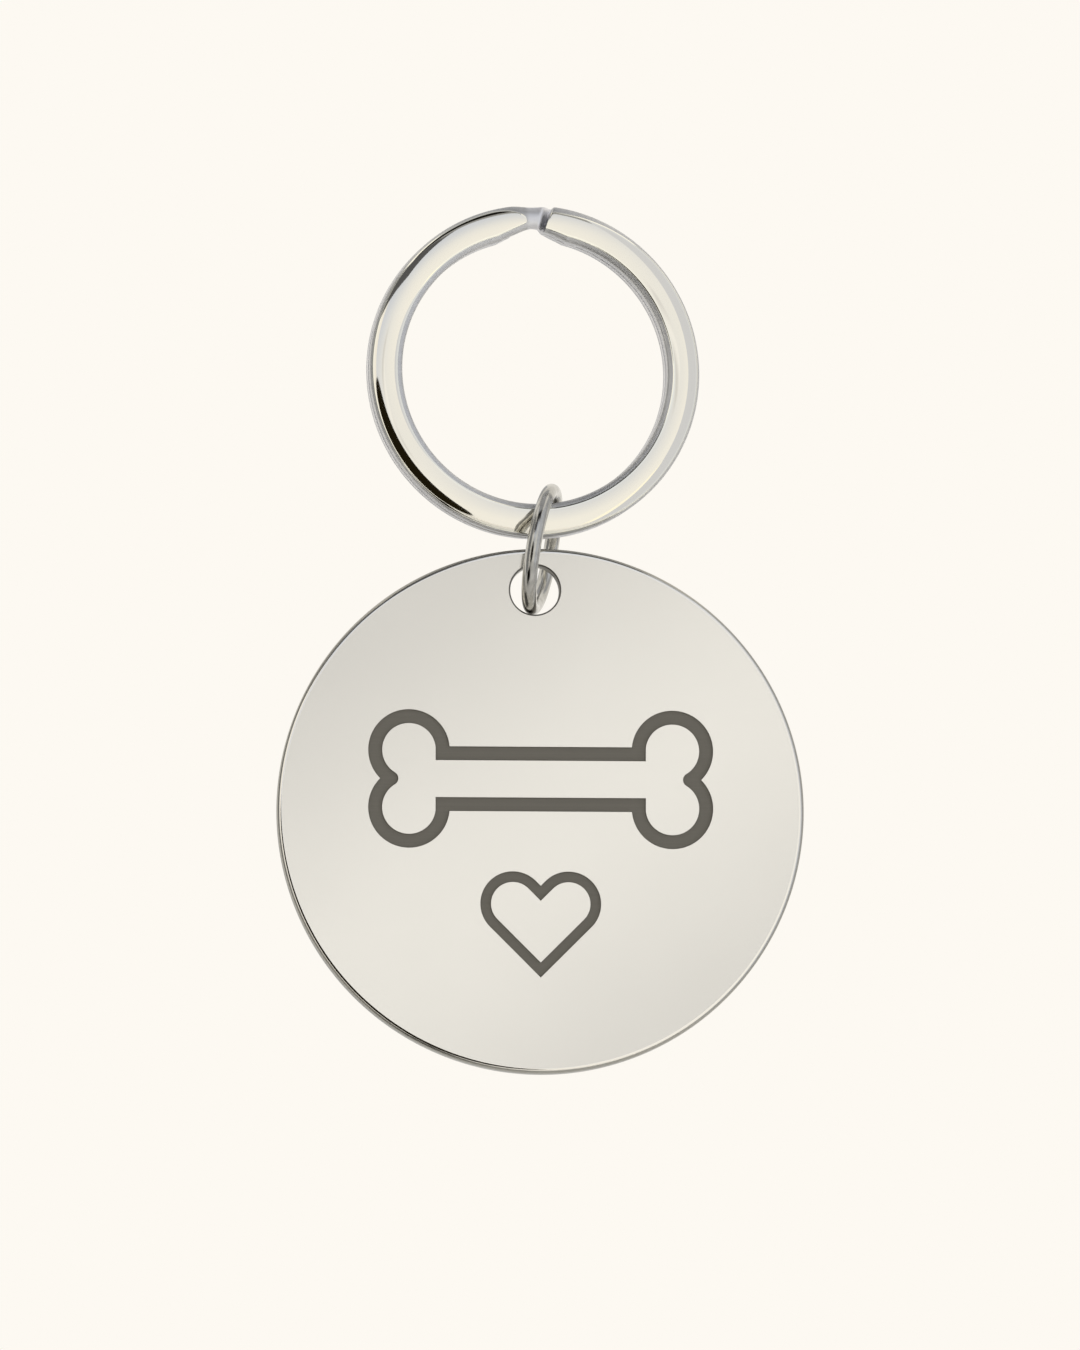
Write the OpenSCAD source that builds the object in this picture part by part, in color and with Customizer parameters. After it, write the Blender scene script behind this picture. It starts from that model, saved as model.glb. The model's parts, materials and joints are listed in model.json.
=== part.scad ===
// Round pet tag with a jump ring and a split ring, in its hanging pose.
// Millimetres, +Z up, the tag's front faces -Y. The origin is the top of the
// split ring's bore, where the ring bears on the collar's loop.

/* [Tag] */
// Diameter of the disc
tag_d = 32; // [22:0.5:45]
// Thickness of the disc
tag_t = 1.3; // [0.9:0.1:2]
// Rounding of the disc's edges
tag_edge_r = 0.22; // [0.05:0.01:0.35]
// Diameter of the hanging hole
hole_d = 3; // [2.4:0.1:4.5]
// Metal left between the hole and the disc's edge
hole_strip = 1.04; // [0.8:0.02:1.8]
// Sideways distance of the hole from the disc's centre line
hole_side = 0.35; // [0:0.05:0.6]
// Rounding of the hole's edges
hole_edge_r = 0.1; // [0.02:0.01:0.2]

/* [Engraving] */
// Depth of the engraved lines
engrave_depth = 0.12; // [0.05:0.01:0.3]
// Line width of the bone
bone_line = 0.85; // [0.5:0.05:1.2]
// Distance between the knob centres along the bone
bone_span = 16; // [10:0.5:18]
// Distance between the knob centres across the bone
bone_spread = 3.5; // [2.6:0.1:3.9]
// Middle-line radius of a knob
knob_r = 2.05; // [1.95:0.05:2.4]
// Distance between the two middle lines of the bone's shaft
shaft_gap = 3.1; // [2:0.1:3.4]
// Height of the bone's centre above the disc's centre
bone_up = 1.9; // [1:0.1:3]
// Line width of the heart
heart_line = 0.65; // [0.4:0.05:0.9]
// Middle-line radius of a heart lobe
lobe_r = 1.65; // [1.2:0.05:2]
// Distance between the two lobe centres
lobe_span = 3.38; // [2.6:0.02:4]
// Distance of the lobe centres below the disc's centre
heart_down = 5.7; // [5:0.1:6.5]

/* [Jump ring] */
// Wire diameter of the jump ring
jump_wire = 0.9; // [0.6:0.05:1.2]
// Inside diameter of the jump ring
jump_bore = 6.3; // [5.8:0.1:9]
// Width of the closed butt cut in the jump ring
jump_cut = 0.06; // [0.02:0.01:0.15]
// Sideways lean of the jump ring in degrees
jump_lean = 10.5; // [0:0.5:14]
// Turn of the jump ring about the vertical in degrees
jump_yaw = -10.5; // [-14:0.5:14]

/* [Split ring] */
// Inside diameter of the split ring
ring_bore = 16.35; // [12:0.05:24]
// Width of the flat wire across the ring's face
ring_wire_w = 2; // [1.4:0.05:2.3]
// Thickness of the flat wire
ring_wire_t = 0.9; // [0.6:0.05:1]
// Corner rounding of the flat wire
ring_wire_r = 0.3; // [0.1:0.02:0.3]
// Gap between the two turns
turn_gap = 0.05; // [0.02:0.01:0.1]
// Turn of the split ring about the vertical in degrees
ring_yaw = 6.5; // [-12:0.5:12]
// Angle at which the wire passes from one turn to the other, in degrees
jog_angle = 13; // [12:1:24]
// Angle from the top of the ring back to the middle of the jog, in degrees
jog_back = 2.5; // [0:0.5:8]
// Angle between the jog's end and the wire's cut end, in degrees
cut_angle = 1; // [1:0.5:4]
// Slant of the wire's cut ends in degrees
cut_slant = 13; // [0:1:20]
// Width of the wire in the middle of the jog
jog_wire_w = 1.6; // [1.2:0.05:1.9]

/* [Fits] */
// Clearance between the jump ring and the split ring that it hangs on
hang_clear = 0.06; // [0.03:0.01:0.2]
// Clearance between the jump ring's wire and the lower edge of the hole
wire_clear = 0.06; // [0.03:0.01:0.2]
// Angle round the split ring at which the jump ring hangs, in degrees
hang_angle = 7.4; // [0:0.2:12]
// Angle round the hole at which the wire lies, in degrees
wire_angle = 11; // [0:1:30]

/* [Hidden] */
// Overrun of cutting tools past the faces they cut
over = 0.5;
$fn = 128;
tag_r = tag_d / 2;
hole_r = hole_d / 2;
wire_r = jump_wire / 2;
jump_in_r = jump_bore / 2;
jump_mid_r = jump_in_r + wire_r;
ring_in_r = ring_bore / 2;
ring_mid_r = ring_in_r + ring_wire_w / 2;
ring_out_r = ring_in_r + ring_wire_w;
turn_pitch = ring_wire_t + turn_gap;
ring_half_t = turn_pitch / 2 + ring_wire_t / 2;
// The split ring's section keeps the jump ring off the bore's edge: by its corners, by
// the skew at which the two rings cross and by the tilt of the wire against the bore
skew = ring_yaw - jump_yaw;
tilt = jump_lean + hang_angle;
corner_dip = jump_in_r - sqrt(pow(jump_in_r, 2) - pow(ring_half_t / cos(skew), 2));
skew_dip = ring_half_t * abs(tan(skew)) * tan(tilt);
tilt_dip = wire_r * (1 / cos(tilt) - 1);
hang_reach = jump_in_r - corner_dip - skew_dip - tilt_dip - hang_clear;
ring_center = [0, 0, -ring_in_r];
// The jump ring hangs from a point on the split ring's bore and leans from it
lean_axis = [sin(jump_lean), 0, cos(jump_lean)];
hang_point = ring_center + ring_in_r * [sin(hang_angle), 0, -cos(hang_angle)];
jump_center = hang_point - hang_reach * lean_axis;
jump_low = jump_center - jump_mid_r * lean_axis;
// The wire lies low in the hole, a little to one side of its lowest point
wire_seat = hole_r - wire_r - wire_clear;
hole_center = jump_low + wire_seat * [sin(wire_angle), 0, cos(wire_angle)];
hole_up = tag_r - hole_strip - hole_r;
tag_center = hole_center + [hole_side, 0, -hole_up];
// Straight length of the jog and the number of steps along it
jog_length = 2 * ring_mid_r * sin(jog_angle / 2);
jog_steps = 20;
// The jog's ends run into the two turns, a hair inside their faces
jog_inset = 0.01;
jog_run_share = 0.15;
// Part of the jog's narrowing that is taken from its outer edge
jog_outer_share = 0.2;

// Outline of a bar from the axis outward, with both outer corners rounded
module rounded_bar_2d(reach, thick, r) {
    square_reach = reach - r;
    translate([0, -thick / 2]) square([square_reach, thick]);
    translate([0, -thick / 2 + r]) square([reach, thick - 2 * r]);
    for (side = [-1, 1])
        translate([square_reach, side * (thick / 2 - r)]) circle(r);
}

// Flat disc standing in the XZ plane
module disc_blank() {
    rotate([90, 0, 0]) rotate_extrude() rounded_bar_2d(tag_r, tag_t, tag_edge_r);
}

// Hole through the disc, flared by a small round at both faces
module hole_cut() {
    flare = hole_r + hole_edge_r;
    translate([-hole_side, 0, hole_up]) rotate([90, 0, 0]) {
        cylinder(h = tag_t + 2 * over, r = hole_r, center = true);
        for (side = [-1, 1]) rotate_extrude() difference() {
            translate([0, side > 0 ? tag_t / 2 - hole_edge_r : -tag_t / 2 - over])
                square([flare, hole_edge_r + over]);
            translate([flare, side * (tag_t / 2 - hole_edge_r)]) circle(hole_edge_r);
        }
    }
}

// Places a cut so that its drawing faces the front and ends at the engraved depth
module on_front() {
    translate([0, -tag_t / 2 + engrave_depth, 0]) rotate([90, 0, 0]) children();
}

// Engraved arc of a given middle-line radius from one angle to another
module arc_line(r, from, to, line, deep) {
    rotate([0, 0, from]) rotate_extrude(angle = to - from)
        translate([r - line / 2, 0]) square([line, deep]);
}

// Round ends of such an arc
module arc_ends(r, from, to, line, deep) {
    for (a = [from, to]) rotate([0, 0, a])
        translate([r, 0, 0]) cylinder(h = deep, d = line);
}

// Bone drawn as one line: four knobs, two shaft lines
module bone_cut() {
    deep = engrave_depth + over;
    half_span = bone_span / 2;
    half_spread = bone_spread / 2;
    notch = acos(half_spread / knob_r);
    shaft = asin((half_spread - shaft_gap / 2) / knob_r);
    shaft_end = half_span - knob_r * cos(shaft);
    translate([0, bone_up, 0]) {
        for (mx = [0, 1], my = [0, 1]) mirror([mx, 0, 0]) mirror([0, my, 0])
            translate([half_span, half_spread, 0]) {
                arc_line(knob_r, notch - 90, 180 + shaft, bone_line, deep);
                arc_ends(knob_r, notch - 90, 180 + shaft, bone_line, deep);
            }
        for (side = [-1, 1])
            translate([-shaft_end, side * shaft_gap / 2 - bone_line / 2, 0])
                cube([2 * shaft_end, bone_line, deep]);
    }
}

// Heart drawn as one line: two half-round lobes, and sides at 45 degrees that meet
// in square corners at the notch and at the tip
module heart_cut() {
    deep = engrave_depth + over;
    half_span = lobe_span / 2;
    to_notch = half_span * sqrt(2) - lobe_r + heart_line / 2;
    to_tip = half_span * sqrt(2) + lobe_r + heart_line / 2;
    translate([0, -heart_down, 0]) for (m = [0, 1]) mirror([m, 0, 0])
        translate([-half_span, 0, 0]) rotate([0, 0, 45]) {
            arc_line(lobe_r, 0, 180, heart_line, deep);
            translate([lobe_r - heart_line / 2, -to_notch, 0])
                cube([heart_line, to_notch, deep]);
            translate([-lobe_r - heart_line / 2, -to_tip, 0])
                cube([heart_line, to_tip, deep]);
        }
}

module tag() {
    color("gainsboro") translate(tag_center) difference() {
        disc_blank();
        hole_cut();
        on_front() bone_cut();
        on_front() heart_cut();
    }
}

// Round wire bent to a ring, its butt cut at the back
module jump_ring() {
    half_cut = asin(jump_cut / 2 / jump_mid_r);
    color("dimgray") translate(jump_center)
        rotate([0, 90 + jump_lean, jump_yaw]) rotate([0, 0, 90 + half_cut])
            rotate_extrude(angle = 360 - 2 * half_cut)
                translate([jump_mid_r, 0]) circle(wire_r);
}

// Section of the flat wire: w across, t thick, corners rounded by r
module wire_2d(w, t, r) {
    square([w - 2 * r, t], center = true);
    square([w, t - 2 * r], center = true);
    for (sx = [-1, 1], sy = [-1, 1])
        translate([sx * (w / 2 - r), sy * (t / 2 - r)]) circle(r);
}

// Edge of the jog seen from the ring's middle: along it, then across, on one side
function jog_edge(side) = [
    for (i = [0:jog_steps])
        let (s = i / jog_steps, slope = atan(turn_pitch * 6 * s * (1 - s) / jog_length))
        [jog_length * (s - 1 / 2), turn_pitch * (1 / 2 - s * s * (3 - 2 * s))]
            + side * (ring_wire_t / 2 - jog_inset) * [sin(slope), cos(slope)]
];

// The jog: it crosses from turn to turn and is narrower than the wire elsewhere
module jog() {
    narrowing = ring_wire_w - jog_wire_w;
    run = [jog_length * jog_run_share, 0];
    upper = jog_edge(1);
    lower = jog_edge(-1);
    intersection() {
        rotate([90, 0, jog_back]) translate([0, 0, -ring_out_r]) linear_extrude(ring_out_r)
            polygon(concat(
                [upper[0] - run], upper, [upper[jog_steps] + run],
                [lower[jog_steps] + run], [for (i = [jog_steps:-1:0]) lower[i]],
                [lower[0] - run]
            ));
        difference() {
            cylinder(h = 2 * turn_pitch + over, r = ring_out_r - jog_outer_share * narrowing,
                     center = true);
            cylinder(h = 2 * turn_pitch + 2 * over, center = true,
                     r = ring_in_r + (1 - jog_outer_share) * narrowing);
        }
    }
}

// One turn of the flat wire, from the jog right round to its slanted cut end
module turn_of_wire() {
    start = 90 + jog_back + jog_angle / 2;
    cut_at = 90 + jog_back - jog_angle / 2 - cut_angle;
    difference() {
        translate([0, 0, turn_pitch / 2]) rotate([0, 0, start])
            rotate_extrude(angle = 360 + cut_at - start)
                translate([ring_mid_r, 0]) wire_2d(ring_wire_w, ring_wire_t, ring_wire_r);
        rotate([0, 0, cut_at]) translate([ring_in_r, 0, 0]) rotate([0, 0, -cut_slant])
            translate([-over, 0, turn_gap / 4])
                cube([ring_wire_w + 2 * over, ring_wire_w, ring_wire_t + over]);
    }
}

// Two turns of flat wire, joined by the jog near the top
module split_ring() {
    color("silver") translate(ring_center) rotate([0, 0, ring_yaw]) rotate([90, 0, 0]) {
        turn_of_wire();
        rotate([0, 0, jog_back]) rotate([0, 180, 0]) rotate([0, 0, -jog_back]) turn_of_wire();
        jog();
    }
}

split_ring();
jump_ring();
tag();
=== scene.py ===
# %% [markdown]
# # A pet tag on a jump ring and a split ring
# A polished steel disc hangs from a small ring of round wire, and that ring hangs from
# a split ring of flat wire. The lesson builds the three pieces in metres, in the place
# where the construction model has them, then lights them as small shiny goods are
# photographed: in a pale tent, with grey and black cards that the metal can mirror.
#
# Sizes on a drawing are in millimetres and Blender's are in metres, so every size goes
# through one factor, `MM`.

# %% Load the frame
import bpy
import bmesh
import json
from math import acos, asin, atan2, ceil, copysign, cos, degrees, hypot, radians, sin, tan
from mathutils import Matrix, Vector


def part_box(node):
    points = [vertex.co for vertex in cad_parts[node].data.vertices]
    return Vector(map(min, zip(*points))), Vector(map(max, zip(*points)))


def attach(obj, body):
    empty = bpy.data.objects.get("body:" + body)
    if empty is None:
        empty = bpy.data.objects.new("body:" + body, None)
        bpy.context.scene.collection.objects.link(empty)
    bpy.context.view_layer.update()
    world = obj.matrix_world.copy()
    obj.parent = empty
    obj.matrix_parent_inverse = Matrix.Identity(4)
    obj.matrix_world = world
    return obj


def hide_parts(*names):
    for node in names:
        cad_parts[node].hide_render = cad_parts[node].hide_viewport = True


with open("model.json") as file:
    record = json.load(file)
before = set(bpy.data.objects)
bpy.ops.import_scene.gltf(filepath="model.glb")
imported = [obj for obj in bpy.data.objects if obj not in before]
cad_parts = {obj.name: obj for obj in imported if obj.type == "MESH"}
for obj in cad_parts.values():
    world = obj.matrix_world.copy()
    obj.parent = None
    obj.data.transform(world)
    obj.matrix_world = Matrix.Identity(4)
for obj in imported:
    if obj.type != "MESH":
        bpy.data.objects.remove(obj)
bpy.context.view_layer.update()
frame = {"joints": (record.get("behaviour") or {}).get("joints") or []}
MM = 0.001


# %% [markdown]
# ## Colours and nodes
# Colours are picked as sRGB hex, as a paint program shows them, but shaders mix light
# linearly, so one function turns them. Materials are node trees, and one function adds
# a node, sets it and links its inputs, so a tree reads as a list from the coordinates
# to the output.

# %% Helpers for colours and nodes
def linear(code):
    """sRGB hex such as 'f4f0e6' as a linear colour with alpha."""
    parts = [int(code[i:i + 2], 16) / 255 for i in (0, 2, 4)]
    curve = [p / 12.92 if p <= 0.04045 else ((p + 0.055) / 1.055) ** 2.4 for p in parts]
    return (*curve, 1)


def add(tree, kind, links=None, sockets=None, **settings):
    """Adds a node; links go from another node's output to a named input."""
    node = tree.nodes.new(kind)
    for name, value in settings.items():
        setattr(node, name, value)
    for name, value in (sockets or {}).items():
        node.inputs[name].default_value = value
    for name, source in (links or {}).items():
        tree.links.new(source, node.inputs[name])
    return node


def new_material(name):
    """A material and its node tree, which is still empty."""
    material = bpy.data.materials.new(name)
    material.use_nodes = True
    material.node_tree.nodes.clear()
    return material, material.node_tree


print("the cream f4f0e6 is", [round(c, 3) for c in linear("f4f0e6")])

# %% [markdown]
# ## The camera
# The object was photographed with a long lens from a little below and a little to the
# left. A long lens far away keeps the rings round: a short one would swell the tag. The
# camera is made first, so that every later choice is judged in its frame.

# %% Camera
LENS, SENSOR = 351.2, 36.0                                # mm
CAMERA_AWAY = 0.8                                         # metres
azimuth, elevation = radians(-3.13), radians(-6.718)
middle = Vector((0, 0, -26 * MM))                         # of the whole object
aim_right, aim_up = 0.409 * MM, -0.75 * MM
back = Vector((
    sin(azimuth) * cos(elevation),
    -cos(azimuth) * cos(elevation),
    sin(elevation),
))
look = (-back).to_track_quat("-Z", "Y")
camera = bpy.data.objects.new("camera", bpy.data.cameras.new("camera"))
bpy.context.collection.objects.link(camera)
camera.data.lens, camera.data.sensor_width = LENS, SENSOR
camera.location = middle + look @ Vector((aim_right, aim_up, 0)) + back * CAMERA_AWAY
camera.rotation_mode = "QUATERNION"
camera.rotation_quaternion = look
bpy.context.scene.camera = camera
print("camera at", [round(v, 4) for v in camera.location], "lens", LENS, "mm")

# %% [markdown]
# ## Where the pieces hang
# The split ring's bore bears on the collar at the origin, so its middle is one bore
# radius below. The jump ring and the tag follow from the frame's own boxes and joints,
# which keeps this model in step with the solids.

# %% Places taken from the frame
joints = {joint["name"]: joint for joint in frame["joints"]}
ring_center = Vector(joints["ring_travel"]["pos_m"])
jump_center = Vector(joints["tag_swing"]["pos_m"])
tag_low, tag_high = [Vector(corner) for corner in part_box("tag")]
tag_center = (tag_low + tag_high) / 2
print("split ring", ring_center, "jump ring", jump_center, "tag", tag_center)

# %% [markdown]
# A shape is built as a bmesh and becomes a mesh object at the end. A piece also rides
# on the body that moves it and stands for the solid of that name. Points that the
# operators left on top of each other are merged first, and then all faces are turned
# outwards.

# %% From a bmesh to an object
WELD = 1e-7                           # metres; points nearer than this are one point


def into_object(name, bm, materials):
    """Turns a bmesh into a mesh object of the scene."""
    mesh = bpy.data.meshes.new(name)
    bm.to_mesh(mesh)
    bm.free()
    for material in materials:
        mesh.materials.append(material)
    made = bpy.data.objects.new(name, mesh)
    bpy.context.collection.objects.link(made)
    print(name, "faces:", len(mesh.polygons))
    return made


def into_piece(name, bm, node, materials):
    """Turns a bmesh into a piece, which rides on the body named after its solid and hides
    that solid.
    """
    bmesh.ops.remove_doubles(bm, verts=bm.verts, dist=WELD)
    bmesh.ops.recalc_face_normals(bm, faces=bm.faces)
    for face in bm.faces:
        face.smooth = True
    piece = into_object(name, bm, materials)
    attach(piece, node)
    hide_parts(node)
    return piece


def points(geom):
    """The points among the things that an operator made."""
    return [item for item in geom if isinstance(item, bmesh.types.BMVert)]


print("points are merged within", round(WELD / MM, 6), "mm")

# %% [markdown]
# ## Finishes
# All metal here is told apart only by how it mirrors: how bright, how sharp, how even.
# So each finish gets a narrow colour range, a roughness and one real trace of how it
# was made. A pattern's scale is written as a count per millimetre: `9 / MM` puts nine
# scratches on each millimetre of steel.
#
# The tag's faces are ground and then polished stainless steel. The wheel leaves
# hair-fine scratches in one direction, and a stretched noise draws them.

# %% Polished steel of the tag's faces
# Gives the eye a soft bright mirror whose shade drifts across the disc. The clouds are
# about 5 mm wide. The scratches are 0.1 mm apart, about ten times coarser than real
# ones, so that they are not lost between two pixels.
SCRATCHES = radians(32)               # the way in which the wheel ran over the face
steel, tree = new_material("polished_stainless_steel")
place = add(tree, "ShaderNodeTexCoord").outputs["Object"]
cloud = add(tree, "ShaderNodeTexNoise", links={"Vector": place},
            sockets={"Scale": 0.18 / MM, "Detail": 2})
tint = add(tree, "ShaderNodeMix", data_type="RGBA", links={"Factor": cloud.outputs["Fac"]},
           sockets={"A": linear("f0ede5"), "B": linear("f3f0e8")})
stretch = add(tree, "ShaderNodeMapping", links={"Vector": place},
              sockets={"Rotation": (0, SCRATCHES, 0), "Scale": (0.3 / MM, 0.3 / MM, 9 / MM)})
lines = add(tree, "ShaderNodeTexNoise", links={"Vector": stretch.outputs["Vector"]},
            sockets={"Scale": 1, "Detail": 3})
rough = add(tree, "ShaderNodeMapRange", links={"Value": lines.outputs["Fac"]},
            sockets={"To Min": 0.05, "To Max": 0.1})
print("nodes in", steel.name, "so far:", len(tree.nodes))

# %% [markdown]
# A flat mirror of this size would show one single shade. The real blank is domed by
# about a degree, so different parts of it look at different parts of the tent. A bump
# made from the squared distance to the middle gives that without bending the solid.

# %% The slight dome of the steel
DOME = radians(0.9)                   # lean of the face at its rim
tag_r = 16 * MM
from_middle = add(tree, "ShaderNodeMapping", vector_type="TEXTURE", links={"Vector": place},
                  sockets={"Location": tag_center})
on_face = add(tree, "ShaderNodeVectorMath", operation="MULTIPLY",
              links={0: from_middle.outputs["Vector"]}, sockets={1: (1, 0, 1)})
square = add(tree, "ShaderNodeVectorMath", operation="DOT_PRODUCT",
             links={0: on_face.outputs["Vector"], 1: on_face.outputs["Vector"]})
height = add(tree, "ShaderNodeMath", operation="MULTIPLY",
             links={0: square.outputs["Value"]}, sockets={1: -tan(DOME) / (2 * tag_r)})
bump = add(tree, "ShaderNodeBump", links={"Height": height.outputs[0]},
           sockets={"Strength": 1, "Distance": 1})
print("the dome is", round(tan(DOME) * tag_r / 2 / MM, 3), "mm high")

# %% [markdown]
# Handling leaves a haze on the flat, which scatters part of the light. The metallic
# value stands for it. The rounded border isn't touched as much, so it stays clean and
# mirrors fully. The same squared distance tells the two apart.

# %% The haze on the flat
HAZE = 0.85                           # share of the light that a hazy face still mirrors
edge_w, blend = 0.3 * MM, 0.04 * MM   # width of the rounded border, and of its change
flat_r = tag_r - edge_w
clean = add(tree, "ShaderNodeMapRange", links={"Value": square.outputs["Value"]},
            sockets={"From Min": (flat_r - blend) ** 2, "From Max": (flat_r + blend) ** 2,
                     "To Min": HAZE, "To Max": 1})
shader = add(tree, "ShaderNodeBsdfPrincipled", links={
    "Base Color": tint.outputs["Result"], "Metallic": clean.outputs["Result"],
    "Roughness": rough.outputs["Result"], "Normal": bump.outputs["Normal"]})
add(tree, "ShaderNodeOutputMaterial", links={"Surface": shader.outputs["BSDF"]})
print("material:", steel.name)

# %% [markdown]
# The blank is punched from sheet and tumbled with stones, which rounds its edge and
# leaves it matt beside the polished faces. Mirrors and matt metal side by side read as
# an edge, even where the rounding is only a fifth of a millimetre.

# %% Tumbled edge of the tag
# Gives the eye an even grey rim. The grain of 0.17 mm is that of the tumbling stones.
steel_edge, tree = new_material("tumbled_steel_edge")
place = add(tree, "ShaderNodeTexCoord").outputs["Object"]
grain = add(tree, "ShaderNodeTexNoise", links={"Vector": place},
            sockets={"Scale": 6 / MM, "Detail": 3})
tint = add(tree, "ShaderNodeMix", data_type="RGBA", links={"Factor": grain.outputs["Fac"]},
           sockets={"A": linear("adaba3"), "B": linear("c1bfb7")})
shader = add(tree, "ShaderNodeBsdfPrincipled", links={"Base Color": tint.outputs["Result"]},
             sockets={"Metallic": 1, "Roughness": 0.3})
add(tree, "ShaderNodeOutputMaterial", links={"Surface": shader.outputs["BSDF"]})
print("material:", steel_edge.name)

# %% [markdown]
# The hole is drilled, not punched: the tool leaves fine rings round its axis. The noise
# is squeezed along that axis alone, so it makes rings without any pattern image.

# %% Drilled wall of the hole
# Gives the eye a dark thin ring round the hole: painted shade inside the hole. The feed
# marks of the drill are real and 0.08 mm apart.
hole_wall_shade, tree = new_material("drilled_wall_painted_shade")
place = add(tree, "ShaderNodeTexCoord").outputs["Object"]
squeeze = add(tree, "ShaderNodeMapping", links={"Vector": place},
              sockets={"Scale": (0.5 / MM, 12 / MM, 0.5 / MM)})
feed = add(tree, "ShaderNodeTexNoise", links={"Vector": squeeze.outputs["Vector"]},
           sockets={"Scale": 1, "Detail": 2})
# painted shade: the wall is coloured dark because shade falls inside the hole
tint = add(tree, "ShaderNodeMix", data_type="RGBA", links={"Factor": feed.outputs["Fac"]},
           sockets={"A": linear("6a6862"), "B": linear("8d8a84")})
shader = add(tree, "ShaderNodeBsdfPrincipled", links={"Base Color": tint.outputs["Result"]},
             sockets={"Metallic": 1, "Roughness": 0.3})
add(tree, "ShaderNodeOutputMaterial", links={"Surface": shader.outputs["BSDF"]})
print("material:", hole_wall_shade.name)

# %% [markdown]
# The drawing is burnt in with a laser. It oxidises the steel to a flat grey-brown that
# no longer mirrors, so this is the one finish on the object that isn't metallic.

# %% Laser mark in the engraved lines
# Gives the eye the dark matt drawing. The scan lines are 0.12 mm apart at 45 degrees,
# about three times coarser than real ones, so that they can be seen close up.
mark, tree = new_material("laser_darkened_steel")
place = add(tree, "ShaderNodeTexCoord").outputs["Object"]
hatch = add(tree, "ShaderNodeMapping", links={"Vector": place},
            sockets={"Rotation": (0, radians(45), 0), "Scale": (1, 1, 8 / MM)})
scan = add(tree, "ShaderNodeTexNoise", links={"Vector": hatch.outputs["Vector"]},
           sockets={"Scale": 1, "Detail": 1})
tint = add(tree, "ShaderNodeMix", data_type="RGBA", links={"Factor": scan.outputs["Fac"]},
           sockets={"A": linear("7f7b72"), "B": linear("8a867c")})
shader = add(tree, "ShaderNodeBsdfPrincipled", links={"Base Color": tint.outputs["Result"]},
             sockets={"Metallic": 0, "Roughness": 0.7, "Specular IOR Level": 0.2})
add(tree, "ShaderNodeOutputMaterial", links={"Surface": shader.outputs["BSDF"]})
print("material:", mark.name)

# %% [markdown]
# The split ring is bright nickel plate on flattened steel wire. Its faces are buffed
# and its sides are not. Where the machine grips the wire to jog it, the buff can't
# reach either. Both borders belong to the shape, so they are stored on the points of
# the mesh when the wire is made: `polish` is above a half where the buff has been, and
# `gripped` is one in the jog.

# %% Plate on the faces, the sides and the jog of the split ring
# Gives the eye warm mirrors between grey sides. The clouds in the plate are 4 mm wide,
# and the unbuffed sides have a grain of 0.3 mm.
nickel, tree = new_material("bright_nickel_plate")
place = add(tree, "ShaderNodeTexCoord").outputs["Object"]
cloud = add(tree, "ShaderNodeTexNoise", links={"Vector": place},
            sockets={"Scale": 0.25 / MM, "Detail": 2})
bright = add(tree, "ShaderNodeMix", data_type="RGBA", links={"Factor": cloud.outputs["Fac"]},
             sockets={"A": linear("efebe0"), "B": linear("f3efe4")})
grain = add(tree, "ShaderNodeTexNoise", links={"Vector": place},
            sockets={"Scale": 3.5 / MM, "Detail": 3})
dull = add(tree, "ShaderNodeMix", data_type="RGBA", links={"Factor": grain.outputs["Fac"]},
           sockets={"A": linear("c6c6c6"), "B": linear("dededd")})
in_jog = add(tree, "ShaderNodeAttribute", attribute_name="gripped").outputs["Fac"]
plain = add(tree, "ShaderNodeMix", data_type="RGBA",
            links={"Factor": in_jog, "A": dull.outputs["Result"]},
            sockets={"B": linear("eaeaec")})
print("nodes in", nickel.name, "so far:", len(tree.nodes))

# %% [markdown]
# The buff takes off about 0.02 mm, and the small step at its border is what draws the
# thin black and white lines round the faces. Just inside the border the plate is painted
# a little brighter, a painted highlight along the edge of each face.

# %% The border of the buffed faces
BUFF_STEP = 0.022 * MM                # how much the buff takes off
on_buff = add(tree, "ShaderNodeAttribute", attribute_name="polish").outputs["Fac"]
edge = add(tree, "ShaderNodeMapRange", interpolation_type="SMOOTHSTEP",
           links={"Value": on_buff}, sockets={"From Min": 0.44, "From Max": 0.56})
# painted highlight: just inside the buff's border the plate is painted brighter, fffdf0
painted_highlight_band = add(tree, "ShaderNodeMapRange", interpolation_type="SMOOTHSTEP",
             links={"Value": on_buff},
             sockets={"From Min": 0.6, "From Max": 1, "To Min": 1, "To Max": 0})
plate_with_painted_highlight = add(tree, "ShaderNodeMix", data_type="RGBA",
             links={"Factor": painted_highlight_band.outputs["Result"], "A": bright.outputs["Result"]},
             sockets={"B": linear("fffdf0")})
tint = add(tree, "ShaderNodeMix", data_type="RGBA",
           links={"Factor": edge.outputs["Result"], "A": plain.outputs["Result"],
                  "B": plate_with_painted_highlight.outputs["Result"]})
rough = add(tree, "ShaderNodeMapRange", links={"Value": edge.outputs["Result"]},
            sockets={"To Min": 0.42, "To Max": 0.05})
step = add(tree, "ShaderNodeMapRange", interpolation_type="SMOOTHSTEP",
           links={"Value": on_buff}, sockets={"From Min": 0.35, "From Max": 0.69})
bump = add(tree, "ShaderNodeBump", links={"Height": step.outputs["Result"]},
           sockets={"Strength": 1, "Distance": BUFF_STEP})
shader = add(tree, "ShaderNodeBsdfPrincipled", sockets={"Metallic": 1}, links={
    "Base Color": tint.outputs["Result"], "Roughness": rough.outputs["Result"],
    "Normal": bump.outputs["Normal"]})
add(tree, "ShaderNodeOutputMaterial", links={"Surface": shader.outputs["BSDF"]})
print("material:", nickel.name)
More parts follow.
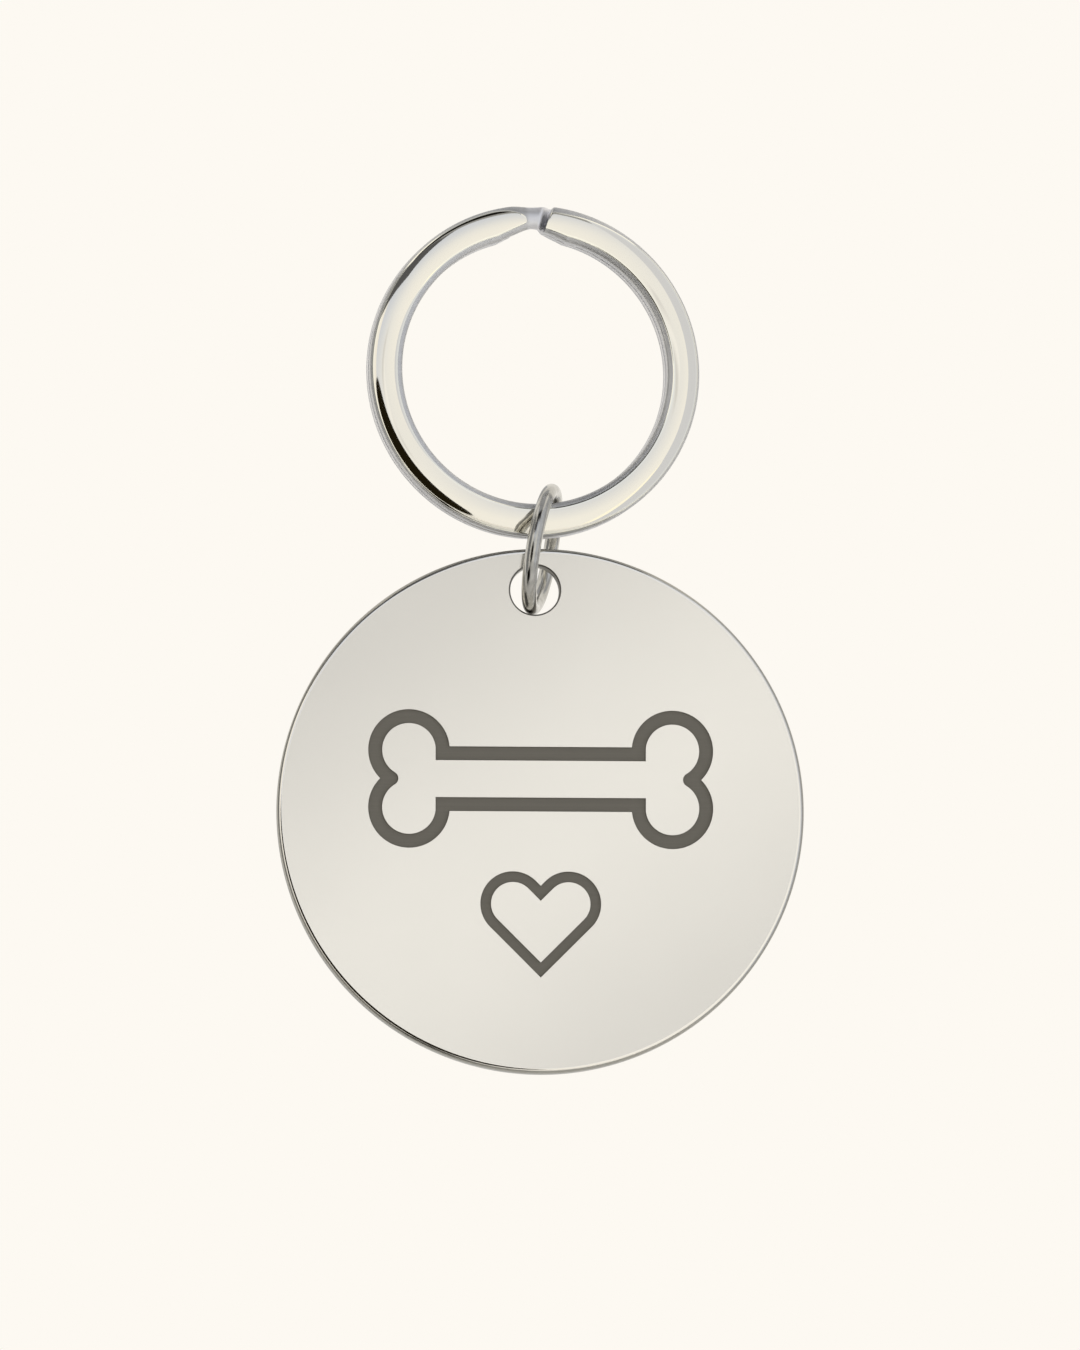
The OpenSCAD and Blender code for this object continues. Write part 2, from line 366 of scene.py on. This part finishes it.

# %% [markdown]
# The jump ring's plate is painted darker than the split ring's, as painted shade, and it
# is less even, with small patches where it rubbed on its neighbours in the tumbling drum.

# %% Darker plate of the jump ring
# Gives the eye a softer mirror than the split ring, painted darker as shade, in patches
# of 0.7 mm.
nickel_painted_dark, tree = new_material("dark_nickel_wire")
place = add(tree, "ShaderNodeTexCoord").outputs["Object"]
cloud = add(tree, "ShaderNodeTexNoise", links={"Vector": place},
            sockets={"Scale": 1.5 / MM, "Detail": 4})
rubbed = add(tree, "ShaderNodeMapRange", links={"Value": cloud.outputs["Fac"]},
             sockets={"From Min": 0.35, "From Max": 0.65})
# painted shade: this plate colour is darker than the split ring's
tint = add(tree, "ShaderNodeMix", data_type="RGBA",
           links={"Factor": rubbed.outputs["Result"]},
           sockets={"A": linear("b6b5b0"), "B": linear("cccbc6")})
rough = add(tree, "ShaderNodeMapRange", links={"Value": rubbed.outputs["Result"]},
            sockets={"To Min": 0.2, "To Max": 0.13})
shader = add(tree, "ShaderNodeBsdfPrincipled", sockets={"Metallic": 1}, links={
    "Base Color": tint.outputs["Result"], "Roughness": rough.outputs["Result"]})
add(tree, "ShaderNodeOutputMaterial", links={"Surface": shader.outputs["BSDF"]})
print("material:", nickel_painted_dark.name)

# %% [markdown]
# ## The tag's disc
# A round blank is punched from 1.3 mm sheet. The same three steps make it here: a
# circle, pushed up by the sheet's thickness, with both rims rounded. 256 corners keep
# the outline round even when it fills the picture. The buff rounds the face's border
# wider than deep and keeps it bright, and faces that lean more than 20 degrees are the
# tumbled edge. So a dark card can draw its thin line just inside the grey rim.
#
# The disc is drawn lying flat. One matrix, `to_front`, stands it up in its place, and
# later does the same for the tools that cut it.

# %% Disc blank
TOUCH = 1e-6                          # metres; places nearer than this meet
tag_t, edge_r, tumbled_lean = 1.3 * MM, 0.22 * MM, radians(20)
tag_finishes = [steel, steel_edge, mark, hole_wall_shade]
FACE, EDGE, MARK, WALL = range(len(tag_finishes))
bm = bmesh.new()
bmesh.ops.create_circle(bm, cap_ends=True, radius=tag_r, segments=256)
pushed = bmesh.ops.extrude_face_region(bm, geom=bm.faces[:])["geom"]
bmesh.ops.translate(bm, verts=points(pushed), vec=(0, 0, tag_t))
bmesh.ops.recalc_face_normals(bm, faces=bm.faces)
rims = [e for e in bm.edges if abs(e.verts[0].co.z - e.verts[1].co.z) < TOUCH]
bmesh.ops.bevel(bm, geom=rims, affect="EDGES", offset=edge_r, segments=6, profile=0.5,
                material=-1)
bmesh.ops.translate(bm, verts=bm.verts, vec=(0, 0, -tag_t / 2))
# all points lie on the roundings, which run further across the face than down the wall
for v in bm.verts:
    from_rim = tag_r - hypot(v.co.x, v.co.y)
    inward = (tag_r - from_rim * edge_w / edge_r) / (tag_r - from_rim)
    v.co.x *= inward
    v.co.y *= inward
bm.normal_update()
for face in bm.faces:
    face.material_index = EDGE if abs(face.normal.z) < cos(tumbled_lean) else FACE
to_front = Matrix.Translation(tag_center) @ Matrix.Rotation(radians(90), 4, "X")
bm.transform(to_front)
tag = into_piece("tag_disc", bm, "tag", tag_finishes)

# %% [markdown]
# ## Cutting tools
# Each engraved line is a ribbon: one short edge across the line is spun and pushed
# along the drawing, as a pen moves, then trimmed on the mirror line so that the
# corners meet in a clean mitre. The second half comes from a mirror. A pen line drawn
# this way keeps its width everywhere, which a scaled copy of an outline does not.

# %% A ribbon from a spun edge
ARC_STEP = 5                          # degrees
ON_PLANE = 1e-9                       # metres


def ribbon(radius, line, start, end, center):
    """A flat arc with a given middle line, with its first and its last edge."""
    bm = bmesh.new()
    pair = [bm.verts.new((radius + side * line / 2, 0, 0)) for side in (-1, 1)]
    first = [bm.edges.new(pair)]
    bmesh.ops.rotate(bm, verts=pair, cent=(0, 0, 0),
                     matrix=Matrix.Rotation(radians(start), 3, "Z"))
    spun = bmesh.ops.spin(bm, geom=pair + first, cent=(0, 0, 0), axis=(0, 0, 1),
                          angle=radians(end - start), steps=round((end - start) / ARC_STEP))
    bmesh.ops.translate(bm, verts=bm.verts, vec=center)
    return bm, first, spun["geom_last"]


def push(bm, geom, vec):
    """Extrudes an edge of a ribbon along a straight line."""
    edges = [item for item in geom if isinstance(item, bmesh.types.BMEdge)]
    pushed = bmesh.ops.extrude_edge_only(bm, edges=edges)["geom"]
    bmesh.ops.translate(bm, verts=points(pushed), vec=vec)


def trim(bm, normal):
    """Cuts the ribbon on a plane through the middle and keeps the side behind it."""
    bmesh.ops.bisect_plane(bm, geom=bm.verts[:] + bm.edges[:] + bm.faces[:], dist=ON_PLANE,
                           plane_co=(0, 0, 0), plane_no=normal, clear_outer=True)


def mirrored(bm, axis):
    """Adds the mirror image and joins it on the mirror line."""
    bmesh.ops.mirror(bm, geom=bm.verts[:] + bm.edges[:] + bm.faces[:], axis=axis,
                     merge_dist=TOUCH)


print("an arc takes a step every", ARC_STEP, "degrees")

# %% [markdown]
# The finished outline gets a height and becomes a tool. A cut face takes the finish of
# the tool that made it, so an engraving tool carries the laser mark on all its faces.

# %% From an outline to a tool
front, deep = tag_t / 2, 0.12 * MM    # height of the tag's face, and depth of the lines


def cutter(name, bm, shift, low=front - deep, high=front + deep, finish=MARK):
    """Gives a flat outline its height and puts it on the tag's face."""
    bmesh.ops.remove_doubles(bm, verts=bm.verts, dist=TOUCH)
    top = points(bmesh.ops.extrude_face_region(bm, geom=bm.faces[:])["geom"])
    bmesh.ops.translate(bm, verts=bm.verts, vec=(*shift, low))
    bmesh.ops.translate(bm, verts=top, vec=(0, 0, high - low))
    bm.transform(to_front)
    bmesh.ops.recalc_face_normals(bm, faces=bm.faces)
    for face in bm.faces:
        face.material_index = finish
    return into_object(name, bm, tag_finishes)


print("the lines are", round(deep / MM, 3), "mm deep")

# %% [markdown]
# The heart is half drawn: a lobe, and two straight runs that leave it as tangents. Both
# runs go past the middle, and the trim leaves the notch above and the point below.

# %% Heart line
heart_line, lobe_r, half_span, heart_down = 0.65 * MM, 1.65 * MM, 1.69 * MM, 5.7 * MM
lobe_from, lobe_to = 45, 225          # degrees
notch_run, point_run = 6 * MM, 8 * MM
bm, first, last = ribbon(lobe_r, heart_line, lobe_from, lobe_to, (-half_span, 0, 0))
downwards = Vector((1, -1, 0)).normalized()
push(bm, first, downwards * notch_run)
push(bm, last, downwards * point_run)
trim(bm, (1, 0, 0))
mirrored(bm, "X")
tools = [cutter("heart_tool", bm, (0, -heart_down))]

# %% [markdown]
# The bone is a quarter drawn: one knob, mirrored down and then across. The angles where
# the knobs meet each other and the shaft follow from the sizes, so any size can be
# changed alone.

# %% Knobs of the bone
bone_line, knob_r, bone_up = 0.85 * MM, 2.05 * MM, 1.9 * MM
half_length, half_spread, half_shaft = 8 * MM, 1.75 * MM, 1.55 * MM
notch = degrees(acos(half_spread / knob_r))
shaft = degrees(asin((half_spread - half_shaft) / knob_r))
bm, _, _ = ribbon(knob_r, bone_line, notch - 90, 180 + shaft, (half_length, half_spread, 0))
trim(bm, (0, -1, 0))
mirrored(bm, "Y")
mirrored(bm, "X")
tools.append(cutter("bone_knob_tool", bm, (0, bone_up)))

# %% [markdown]
# The shaft's two lines are a second tool that ends inside the knobs. A pen turning a
# sharp corner leaves a round spot, and a third tool leaves one in each notch.

# %% Shaft and notches of the bone
shaft_end = half_length - knob_r * cos(radians(shaft)) + bone_line / 2
bm = bmesh.new()
pair = [bm.verts.new((-shaft_end, half_shaft + side * bone_line / 2, 0))
        for side in (-1, 1)]
push(bm, [bm.edges.new(pair)], (2 * shaft_end, 0, 0))
mirrored(bm, "Y")
tools.append(cutter("bone_shaft_tool", bm, (0, bone_up)))

notch_x = half_length + knob_r * sin(radians(notch))
bm = bmesh.new()
for side in (-1, 1):
    bmesh.ops.create_circle(bm, cap_ends=True, radius=bone_line / 2, segments=48,
                            matrix=Matrix.Translation((side * notch_x, 0, 0)))
tools.append(cutter("bone_notch_tool", bm, (0, bone_up)))

# %% [markdown]
# The hole leaves a strip of 1 mm to the tag's rim. Its tool is a plain cylinder that
# goes through the disc.

# %% Hole tool
hole_r, hole_side, hole_strip = 1.5 * MM, 0.35 * MM, 1.04 * MM
hole_place = (-hole_side, tag_r - hole_strip - hole_r)
bm = bmesh.new()
bmesh.ops.create_circle(bm, cap_ends=True, radius=hole_r, segments=96)
tools.append(cutter("hole_tool", bm, hole_place, -tag_t, tag_t, WALL))

# %% [markdown]
# The cuts are exact booleans, done one by one.

# %% Cut the tag
for tool in tools:
    cut = tag.modifiers.new(tool.name, "BOOLEAN")
    cut.operation, cut.solver, cut.object = "DIFFERENCE", "EXACT", tool
    bpy.context.view_layer.update()
    with bpy.context.temp_override(object=tag, active_object=tag):
        bpy.ops.object.modifier_apply(modifier=cut.name)
    bpy.data.objects.remove(tool)
print("tag faces after cutting:", len(tag.data.polygons))

# %% [markdown]
# The rims that the hole leaves are broken with a small bevel, as a countersink does it.
# A bevel needs clean edges, and those exist only after the cut. The test looks at points
# alone, so it also takes the edges that run down the hole's wall from rim to rim. Then
# the flat faces must shade flat: their normals are weighted by area, and steep edges
# stay sharp.

# %% Break the hole's rims
flare, sharp = 0.1 * MM, radians(50)
hole_middle = to_front @ Vector((*hole_place, 0))


def on_hole_rim(v):
    """True for a point where the hole's wall meets a face of the tag."""
    from_axis = hypot(v.co.x - hole_middle.x, v.co.z - hole_middle.z)
    from_mid_plane = abs(v.co.y - tag_center.y)
    return abs(from_axis - hole_r) < TOUCH and abs(from_mid_plane - tag_t / 2) < TOUCH


bm = bmesh.new()
bm.from_mesh(tag.data)
rims = [e for e in bm.edges if all(on_hole_rim(v) for v in e.verts)]
bmesh.ops.bevel(bm, geom=rims, affect="EDGES", offset=flare, segments=4, profile=0.5,
                material=WALL)
bm.to_mesh(tag.data)
bm.free()
weighted = tag.modifiers.new("face_weighted_normals", "WEIGHTED_NORMAL")
weighted.keep_sharp = True
tag.data.set_sharp_from_angle(angle=sharp)
print("edges rounded at the hole:", len(rims))

# %% [markdown]
# ## The jump ring
# A piece of round wire is bent to a circle until its two cut ends meet. A small circle
# spun about the ring's axis, almost right round, leaves that thin cut at the back.

# %% Jump ring
wire_r, bend_r, half_cut = 0.45 * MM, 3.6 * MM, 0.03 * MM
half_gap = degrees(asin(half_cut / bend_r))
lean, yaw = radians(10.5), radians(-10.5)
bm = bmesh.new()
bmesh.ops.create_circle(bm, radius=wire_r, segments=48)
bmesh.ops.rotate(bm, verts=bm.verts, cent=(0, 0, 0),
                 matrix=Matrix.Rotation(radians(90), 3, "X"))
bmesh.ops.translate(bm, verts=bm.verts, vec=(bend_r, 0, 0))
bmesh.ops.spin(bm, geom=bm.verts[:] + bm.edges[:], cent=(0, 0, 0), axis=(0, 0, 1),
               angle=radians(360 - 2 * half_gap), steps=192)
bmesh.ops.holes_fill(bm, edges=[e for e in bm.edges if e.is_boundary], sides=0)
bm.transform(
    Matrix.Translation(jump_center) @ Matrix.Rotation(yaw, 4, "Z")
    @ Matrix.Rotation(radians(90) + lean, 4, "Y")
    @ Matrix.Rotation(radians(90 + half_gap), 4, "Z")
)
jump = into_piece("jump_ring_wire", bm, "jump_ring", [nickel_painted_dark])
jump.data.set_sharp_from_angle(angle=sharp)

# %% [markdown]
# ## The split ring
# Flat wire with a slightly crowned face is wound to two turns and pressed flat, with a
# jog where it passes from the front turn to the rear one. The same two steps make it
# here: the section is spun as a long open coil, whose height tells every point how far
# along the wire it lies, and then each point is pressed to its place.
#
# This piece is drawn in millimetres and made small at the end, because its formulas mix
# lengths with angles and are easier to read that way.

# %% Section of the flat wire
in_r, wire_w, wire_t = 8.175, 2.0, 0.9            # mm
corner, shoulder = 0.15, 0.3                      # mm down the side and across the face
mid_r, half_w, half_t = in_r + wire_w / 2, wire_w / 2, wire_t / 2
bm = bmesh.new()
corners = [bm.verts.new((mid_r + x * half_w, 0, z * half_t))
           for x, z in ((-1, -1), (1, -1), (1, 1), (-1, 1))]
bm.faces.new(corners)
bmesh.ops.bevel(bm, geom=corners, affect="VERTICES", offset=corner, segments=5,
                profile=0.5, material=-1)
bmesh.ops.delete(bm, geom=bm.faces[:], context="FACES_ONLY")
flats = [e for e in bm.edges if e.calc_length() > wire_t]
bmesh.ops.subdivide_edges(bm, edges=flats, cuts=13)
print("points round the section:", len(bm.verts))

# %% [markdown]
# The rollers that flatten the wire leave its corners twice as wide across the face as
# they are deep. Each point keeps its place in the section with it, in a layer, because
# winding the coil moves the point but not this note.

# %% Note the place of each point in the section
section = bm.verts.layers.float_vector.new("place_in_section")
flat_half, face_half = half_w - corner, half_w - shoulder
for v in bm.verts:
    x = v.co.x - mid_r
    if abs(x) > flat_half:
        x = copysign(half_w - (half_w - abs(x)) * shoulder / corner, x)
    else:
        x *= face_half / flat_half
    v[section] = (x, 0, v.co.z)
print("the flat of the face is", 2 * face_half, "mm wide")

# %% [markdown]
# The section has no face yet and is spun with a drop of 2 mm per step, so the coil is
# far too tall and no turn touches another. That drop is a ruler: later, the height of a
# point says exactly how far along the wire it lies.

# %% Wind the coil
STEP, LIFT = 3.0, 2.0                 # degrees and millimetres of height per step
FRONT, JOG, REAR = 347.9, 13, 346.9   # degrees of the front turn, the jog, the rear turn
START = 86.9                          # angle round the ring of the front cut end
length = FRONT + JOG + REAR
steps = ceil(length / STEP)
bmesh.ops.spin(bm, geom=bm.verts[:] + bm.edges[:], cent=(0, 0, 0), axis=(0, 0, 1),
               dvec=(0, 0, -LIFT), angle=radians(-STEP * steps), steps=steps)
runs = [e for e in bm.edges if abs(e.verts[0].co.z - e.verts[1].co.z) > LIFT / 2]
bmesh.ops.subdivide_edges(bm, edges=runs, cuts=4, use_grid_fill=True)
print("steps:", steps, "points:", len(bm.verts))

# %% [markdown]
# Each point is now moved by where it lies: `x` and `z` in the section, with `x` growing
# outwards, and `along` the wire. The front of the wire is crowned, steeper towards the
# outside, because winding stretches the wire's outer half.

# %% Crown of the front
CROWN_OUT, CROWN_IN = 19, 12          # slope at the outer and inner edge, in degrees


def smooth(t):
    """Goes from 0 to 1 without a corner while t does."""
    t = min(max(t, 0), 1)
    return t * t * (3 - 2 * t)


def crown(x, z):
    """How far the crowned front lies below a flat one."""
    if z <= half_t / 2:
        return 0
    u = abs(x) / face_half
    rise = face_half * tan(radians(CROWN_OUT if x > 0 else CROWN_IN)) / 2
    return rise * (u * u if u < 1 else 2 * u - 1)


print("the crown's edges lie", round(crown(half_w, half_t), 3), "and",
      round(crown(-half_w, half_t), 3), "mm below its top")

# %% [markdown]
# Only the two outer faces are buffed: the front of the front turn and the back of the
# rear turn. The buff reaches round their edges but not into the jog, so each of them
# ends there in a round tongue. Near the wire's cut end it reaches less far round the
# outer edge. Both faces are made by one formula, in which `run` is the length of wire
# in degrees from the cut end of that face's own turn.

# %% Where the buff has been
TONGUE, TIP = 14, 353.9               # length of the tongue, and where its tip lies
BARE, FADE = 0.2, 10                  # how the polish falls off past the tip
REACH_OUT, REACH_IN = 1.25, 0.97      # reach past the outer and inner edge of the flat
REACH_LESS, REACH_RUN = 0.3, 50       # reach lost at the cut end, and where that ends
POLISH_SLOPE, GRIP_BLEND = 2, 1       # polish per half face; degrees


def worked(x, run):
    """The values of polish and gripped at a point."""
    past = (run - TIP + TONGUE) / TONGUE
    if past < 0:
        width = 1
    elif past <= 1:
        width = (1 - past ** 2) ** 0.5
    else:
        width = -BARE - (run - TIP) / FADE
    reach = REACH_OUT - REACH_LESS * smooth(1 - run / REACH_RUN) if x > 0 else REACH_IN
    return (0.5 + (width * reach - abs(x) / face_half) * POLISH_SLOPE,
            smooth((run - TIP + GRIP_BLEND) / (2 * GRIP_BLEND)))


print("polish in mid face:", round(worked(0, FRONT / 2)[0], 2),
      "and in the jog:", round(worked(0, FRONT + JOG)[0], 2))

# %% [markdown]
# In the jog the machine squeezes the wire narrow, mostly from the inside, and round.

# %% The squeezed jog
NARROWEST = 91.2                      # degrees round the ring
PRESS_OUT, PRESS_OUT_RUN = 0.12, 8    # mm off the outer side, and degrees either way
PRESS_IN, PRESS_IN_RUN = 0.55, 14.5   # the same for the inner side
PRESS_BLUNT = 1.2                     # degrees; keeps the inner taper from being pointed
ROUNDEST, ROUND_RUN = 9, 8            # degrees past the front turn, and either way
ROUND_FULL = 0.1                      # share of that run in which it is fully round


def squeezed(x, z, along, angle):
    """The place in the section after the jog is pressed."""
    off = (angle - NARROWEST + 180) % 360 - 180
    if x > 0:
        half = half_w - PRESS_OUT * smooth(1 - abs(off) / PRESS_OUT_RUN)
    else:
        half = half_w - PRESS_IN * max(0, 1 - hypot(off, PRESS_BLUNT) / PRESS_IN_RUN)
    roundness = smooth(1 + ROUND_FULL - abs(along - FRONT - ROUNDEST) / ROUND_RUN)
    way = atan2(z / half_t, x / half_w)
    x *= half / half_w
    x += (half * cos(way) - x) * roundness
    z += (half_t * sin(way) - z) * roundness
    return x, z


print("width of the wire in the jog:", round(
    squeezed(half_w, 0, FRONT, NARROWEST)[0] - squeezed(-half_w, 0, FRONT, NARROWEST)[0], 2))

# %% [markdown]
# The wire is cut at a slant, and the jog's drop follows the same slant. The slant fades
# out a few degrees from the cut, so that the wire isn't twisted further on. Each end's
# outer corner is rounded, so that it doesn't scratch.

# %% The cut ends
SLANT, SLANT_RUN = 14, 5              # degrees of slant, and of wire where it fades
LIP = 0.35                            # mm; rounding of an end's outer corner


def slanted(x):
    """How many degrees further a slanted line lies at this point of the width."""
    return degrees((mid_r + x - in_r) * tan(radians(SLANT)) / (mid_r + x))


def trimmed(x, angle, along, skew):
    """The place across the wire and round the ring after both ends are cut."""
    for from_end, way in ((along, 1), (length - along, -1)):
        if from_end < SLANT_RUN:
            angle -= way * skew * (1 - from_end / SLANT_RUN)
        lip = LIP - radians(max(from_end, 0)) * mid_r
        if x > 0 and lip > 0:
            x *= 1 - (LIP - (LIP ** 2 - lip ** 2) ** 0.5) / half_w
    return x, angle


print("slant across the wire:", round(slanted(half_w), 2), "degrees")

# %% [markdown]
# All of it comes together in one pass over the points. The wire drops by one turn just
# before the front cut end. Then the ends are closed, and the ring is scaled, stood up
# and turned as it hangs.

# %% Press it flat
PITCH = 0.95                          # mm from turn to turn
DROP_START, DROP_RUN = 8.9, 3.6       # degrees past the front turn, and of the drop
ring_yaw = radians(6.5)
polish = bm.verts.layers.float.new("polish")
gripped = bm.verts.layers.float.new("gripped")
for v in bm.verts:
    x, _, z = v[section]
    along = (z - v.co.z) / LIFT * length / steps
    angle = START - along
    v[polish], v[gripped] = worked(x, along if z > 0 else length - along)
    x, z = squeezed(x, z - crown(x, z), along, angle)
    skew = slanted(x)
    level = PITCH * (0.5 - smooth((along - skew - FRONT - DROP_START) / DROP_RUN))
    x, angle = trimmed(x, angle, along, skew)
    radius, angle = mid_r + x, radians(angle)
    v.co = (radius * cos(angle), radius * sin(angle), level + z)
bmesh.ops.holes_fill(bm, edges=[e for e in bm.edges if e.is_boundary], sides=0)
bmesh.ops.scale(bm, verts=bm.verts, vec=(MM, MM, MM))
bm.transform(
    Matrix.Translation(ring_center) @ Matrix.Rotation(ring_yaw, 4, "Z")
    @ Matrix.Rotation(radians(90), 4, "X")
)
ring = into_piece("split_ring_wire", bm, "split_ring", [nickel])
ring.data.set_sharp_from_angle(angle=sharp)

# %% [markdown]
# ## The studio
# Mirrors show only what stands round them. A pale tent gives the clean bright metal,
# and cards that the camera doesn't see give it the grey shades and the black lines. The
# floor lies so far below that the shadow on it can't be seen.

# %% World and floor
FLOOR_HALF, FLOOR_DOWN = 4, 0.9       # metres
world = bpy.data.worlds.new("pale_tent")
world.use_nodes = True
bpy.context.scene.world = world
world.node_tree.nodes["Background"].inputs["Color"].default_value = linear("fdf9f2")
world.node_tree.nodes["Background"].inputs["Strength"].default_value = 1
bpy.context.scene.view_settings.view_transform = "Standard"

paper, tree = new_material("pale_paper")
shader = add(tree, "ShaderNodeBsdfPrincipled", sockets={
    "Base Color": linear("fefdfb"), "Roughness": 0.9, "Specular IOR Level": 0})
add(tree, "ShaderNodeOutputMaterial", links={"Surface": shader.outputs["BSDF"]})
bm = bmesh.new()
bmesh.ops.create_grid(bm, x_segments=1, y_segments=1, size=FLOOR_HALF)
bmesh.ops.translate(bm, verts=bm.verts, vec=(0, 0, -FLOOR_DOWN))
floor = into_object("floor", bm, [paper])

# %% [markdown]
# A card is a plain glowing sheet that the camera doesn't see. Its place is given as the
# direction in which the object sees it, because that is what a reflection shows, and
# its size as the angle that it fills there.

# %% A card that faces the object
def card(name, azimuth, elevation, distance, width, height, colour,
         corners=4, strength=1, roll=0):
    """Angles are in degrees and the distance in metres; four corners make a sheet."""
    a, e = radians(azimuth), radians(elevation)
    toward = Vector((sin(a) * cos(e), -cos(a) * cos(e), sin(e)))
    bm = bmesh.new()
    if corners == 4:
        bmesh.ops.create_grid(bm, x_segments=1, y_segments=1, size=0.5)
    else:
        bmesh.ops.create_circle(bm, cap_ends=True, radius=0.5, segments=corners)
    spans = [2 * distance * tan(radians(angle / 2)) for angle in (width, height)]
    bmesh.ops.scale(bm, verts=bm.verts, vec=(*spans, 1))
    material, tree = new_material(name)
    glow = add(tree, "ShaderNodeEmission",
               sockets={"Color": linear(colour), "Strength": strength})
    add(tree, "ShaderNodeOutputMaterial", links={"Surface": glow.outputs["Emission"]})
    sheet = into_object(name, bm, [material])
    sheet.matrix_world = (Matrix.Translation(middle + toward * distance)
                          @ toward.to_track_quat("Z", "Y").to_matrix().to_4x4()
                          @ Matrix.Rotation(radians(roll), 4, "Z"))
    sheet.visible_camera = False
    return sheet, tree, glow


print("the cards face", middle)

# %% [markdown]
# - The black oval card draws the dark lens at the lower left of the split ring.
# - The dark and grey cards above draw the thin dark line along its upper outer edge.
# - The bright strip draws the light line at the lower right of the split ring.
# - The tall grey and pale cards at the left, at the right, overhead and behind keep the
#   sides and the jump ring from vanishing against the pale tent.
# - The low card gives the jump ring its dark lower end.
#
# The dark ones are no larger than these lines need, and the large ones are pale, so
# that from most sides the tag mirrors something light.

# %% Cards round the object
# name, azimuth, elevation, distance in metres, width and height in degrees, colour
card("black_round_card", -15.2, -12.8, 1.2, 34.5, 40, "1d180c", corners=64, roll=31.5)
card("left_card", -71, 5, 1.3, 42, 90, "8e8e8e")
card("top_dark_card", -2, 54, 1.25, 42, 17, "1a1814")
card("top_grey_card", 2, 43.5, 1.3, 46, 8, "9a9a9a")
card("upper_left_card", -24, 34, 1.28, 34, 18, "58585a")
card("bright_strip", 31, -14, 1.1, 4, 24, "fffbe8", strength=1.15)
card("right_pale_card", 55, 5, 1.3, 46, 90, "dadce2")
card("right_grey_card", 96, 5, 1.3, 30, 90, "c2c2c4")
card("ceiling_card", 0, 88, 1.3, 46, 60, "b4b4b6")
card("low_dark_card", -38, -50, 0.75, 36, 28, "100e0a")
card("rear_left_card", -163, 5, 1.4, 26, 80, "c0c0c0")
card("rear_low_card", 172, -24, 1.4, 50, 30, "d0d0d0")

# %% [markdown]
# The disc mirrors only a few degrees of the tent. In that small part, the front sheet
# has a soft band of light that falls across it, brighter in the middle. The place is
# found by following the camera's view off the tag's flat face to the sheet.

# %% Where the disc looks on the front sheet
front_sheet, tree, glow = card("front_sheet", 17, 7, 1.4, 74, 70, "ffffff")
mirrored_view = Vector((-back.x, back.y, -back.z))
to_sheet = front_sheet.matrix_world.inverted()
start, ray = to_sheet @ tag_center, to_sheet.to_3x3() @ mirrored_view
spot = start + ray * (-start.z / ray.z)
print("the disc mirrors the sheet at", [round(c, 3) for c in spot])

# %% [markdown]
# The band is made from the distance to a slanted line on the sheet. Round the part that
# the disc sees, the sheet is warm white at the bottom and cooler at the top, which the
# split ring shows.

# %% The soft light on the front sheet
BAND_SLANT, BAND_SHIFT, BAND_HALF = radians(-59), 0.024, 0.116        # metres on the sheet
NEAR, FAR = 0.105, 0.17               # metres round the spot where the band fades out
COOL_WAY, WARM_END, COOL_END = radians(-120), -0.35, 0.95
place = add(tree, "ShaderNodeTexCoord").outputs["Object"]
band_middle = spot + BAND_SHIFT * Vector((cos(BAND_SLANT), sin(BAND_SLANT), 0))
across = add(tree, "ShaderNodeMapping", vector_type="TEXTURE", links={"Vector": place},
             sockets={"Location": band_middle, "Rotation": (0, 0, BAND_SLANT)})
split = add(tree, "ShaderNodeSeparateXYZ", links={"Vector": across.outputs["Vector"]})
from_band = add(tree, "ShaderNodeMath", operation="ABSOLUTE", links={0: split.outputs["X"]})
band = add(tree, "ShaderNodeMapRange", interpolation_type="SMOOTHSTEP",
           links={"Value": from_band.outputs[0]},
           sockets={"From Min": 0, "From Max": BAND_HALF, "To Min": 1, "To Max": 0})
near = add(tree, "ShaderNodeMix", data_type="RGBA", links={"Factor": band.outputs["Result"]},
           sockets={"A": linear("e0dfde"), "B": linear("fffefc")})
side = add(tree, "ShaderNodeMapping", links={"Vector": place},
           sockets={"Rotation": (0, 0, COOL_WAY)})
upward = add(tree, "ShaderNodeSeparateXYZ", links={"Vector": side.outputs["Vector"]})
cool = add(tree, "ShaderNodeMapRange", interpolation_type="SMOOTHSTEP",
           links={"Value": upward.outputs["X"]},
           sockets={"From Min": WARM_END, "From Max": COOL_END})
rest = add(tree, "ShaderNodeMix", data_type="RGBA", links={"Factor": cool.outputs["Result"]},
           sockets={"A": linear("fffdf8"), "B": linear("dadfea")})
from_spot = add(tree, "ShaderNodeVectorMath", operation="DISTANCE", links={0: place},
                sockets={1: spot})
far = add(tree, "ShaderNodeMapRange", interpolation_type="SMOOTHSTEP",
          links={"Value": from_spot.outputs["Value"]},
          sockets={"From Min": NEAR, "From Max": FAR})
sheet_colour = add(tree, "ShaderNodeMix", data_type="RGBA",
                   links={"Factor": far.outputs["Result"], "A": near.outputs["Result"],
                          "B": rest.outputs["Result"]})
tree.links.new(sheet_colour.outputs["Result"], glow.inputs["Color"])
print("nodes on the front sheet:", len(tree.nodes))
